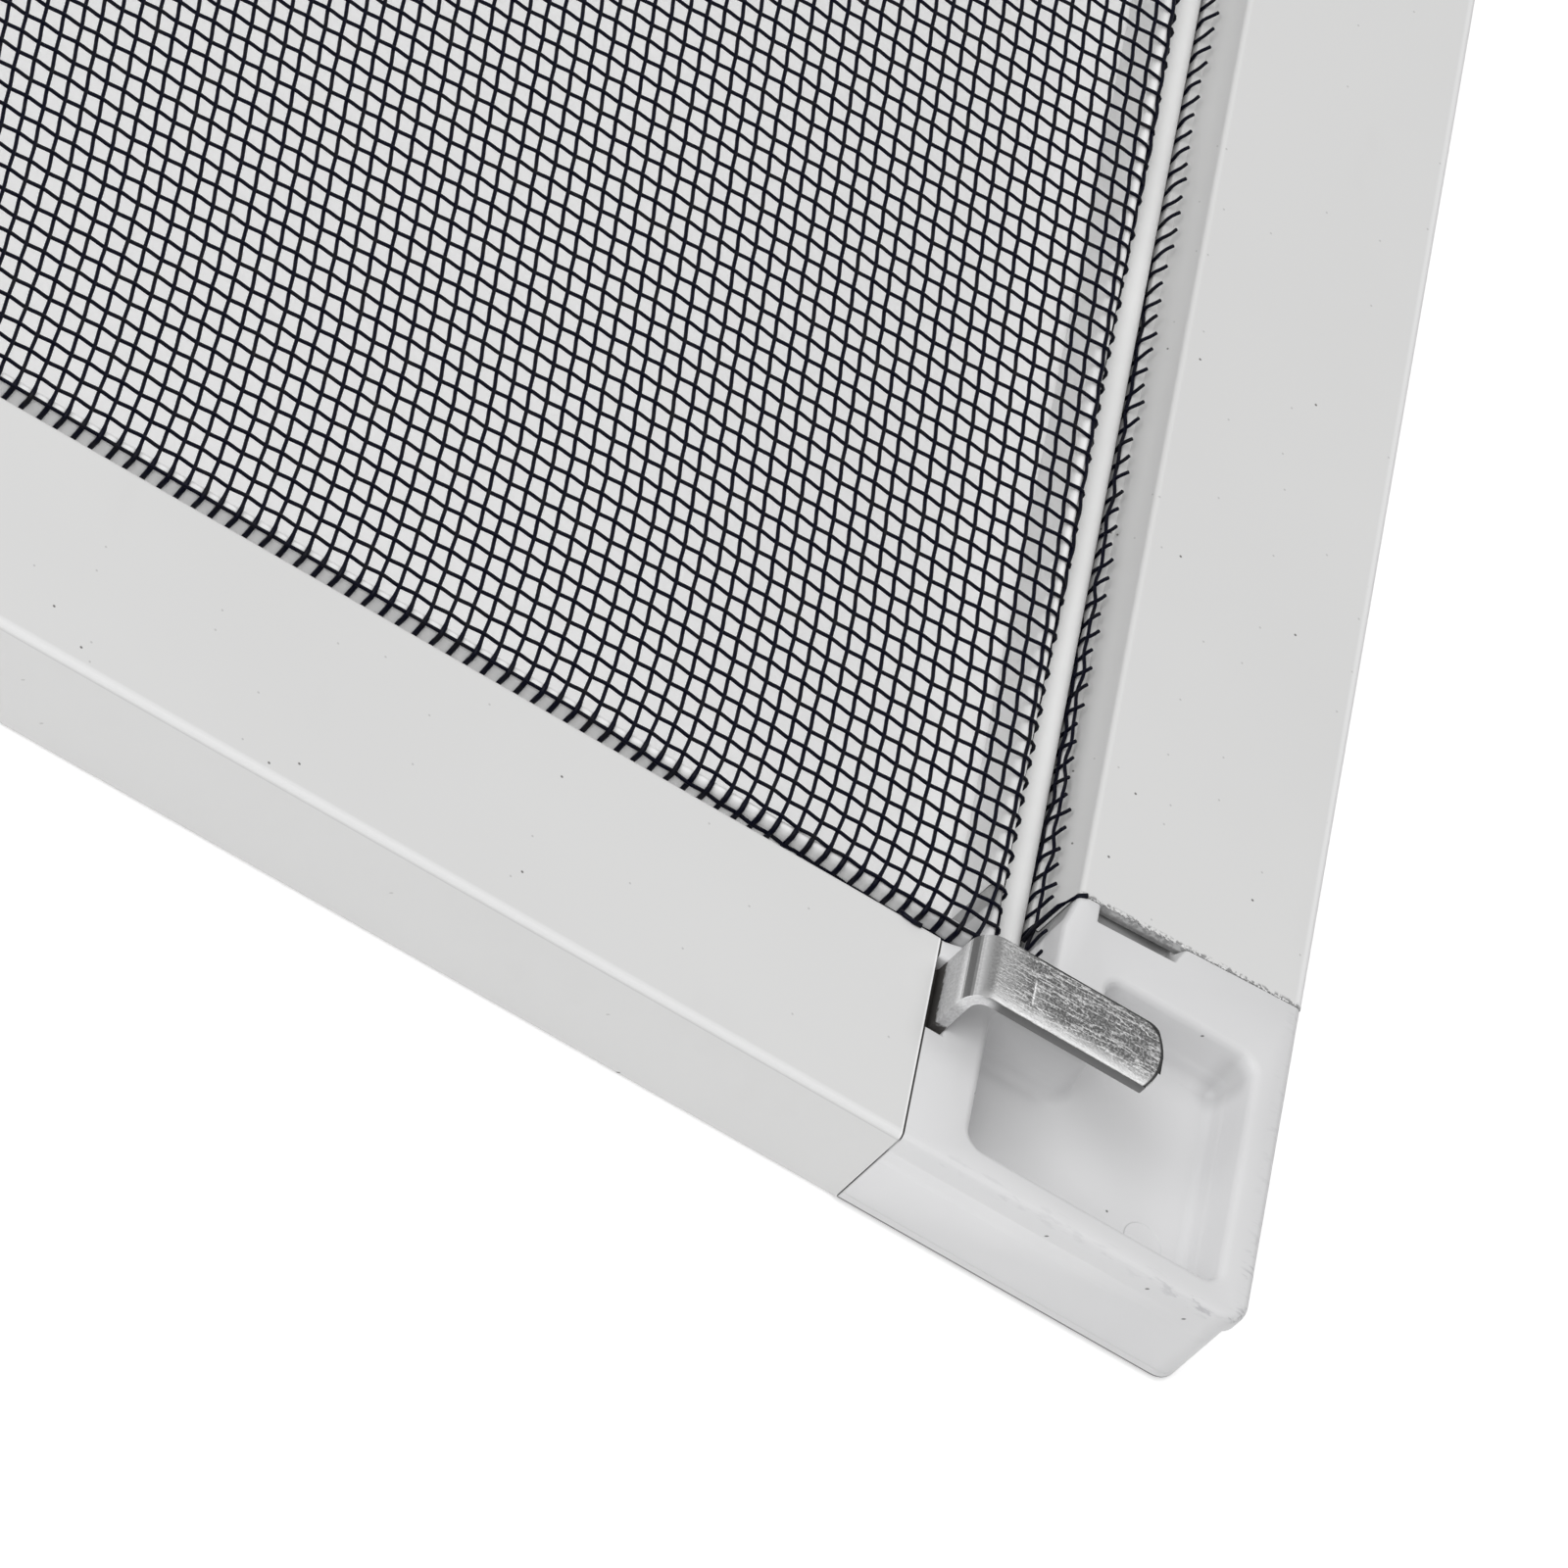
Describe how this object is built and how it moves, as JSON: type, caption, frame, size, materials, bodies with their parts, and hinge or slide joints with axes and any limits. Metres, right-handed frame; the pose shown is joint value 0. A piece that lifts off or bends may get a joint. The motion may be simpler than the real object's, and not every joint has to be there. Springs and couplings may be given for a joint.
{
  "type": "window screen frame",
  "caption": "Rectangular aluminium insect-screen frame with plastic corner connectors, woven mesh held by splines, and bent steel hooks that hang it in a window.",
  "frame": {"origin": "middle of the frame, on the plane that the rails' backs lie on", "axes": "+X along the bottom rail to the right, +Y up the side rails, +Z out of the front face, towards the hooks"},
  "size_m": [0.5, 0.6, 0.0135],
  "materials": {
    "powder_coated_rail": "fine satin white powder coat",
    "connector_plastic": "moulded white plastic, satin, lightly scuffed",
    "spline_plastic": "soft white cord, satin",
    "hook_steel": "bright galvanised strip, scratched",
    "mesh_fabric": "black coated glass-fibre weave"
  },
  "bodies": {
    "root": {"bottom_rail": "powder_coated_rail", "right_rail": "powder_coated_rail", "top_rail": "powder_coated_rail", "left_rail": "powder_coated_rail", "bottom_left_connector": "connector_plastic", "bottom_right_connector": "connector_plastic", "top_right_connector": "connector_plastic", "top_left_connector": "connector_plastic", "bottom_spline": "spline_plastic", "right_spline": "spline_plastic", "top_spline": "spline_plastic", "left_spline": "spline_plastic", "bottom_left_hook": "hook_steel", "bottom_right_hook": "hook_steel", "top_right_hook": "hook_steel", "top_left_hook": "hook_steel", "insect_mesh": "mesh_fabric"}
  },
  "joints": []
}
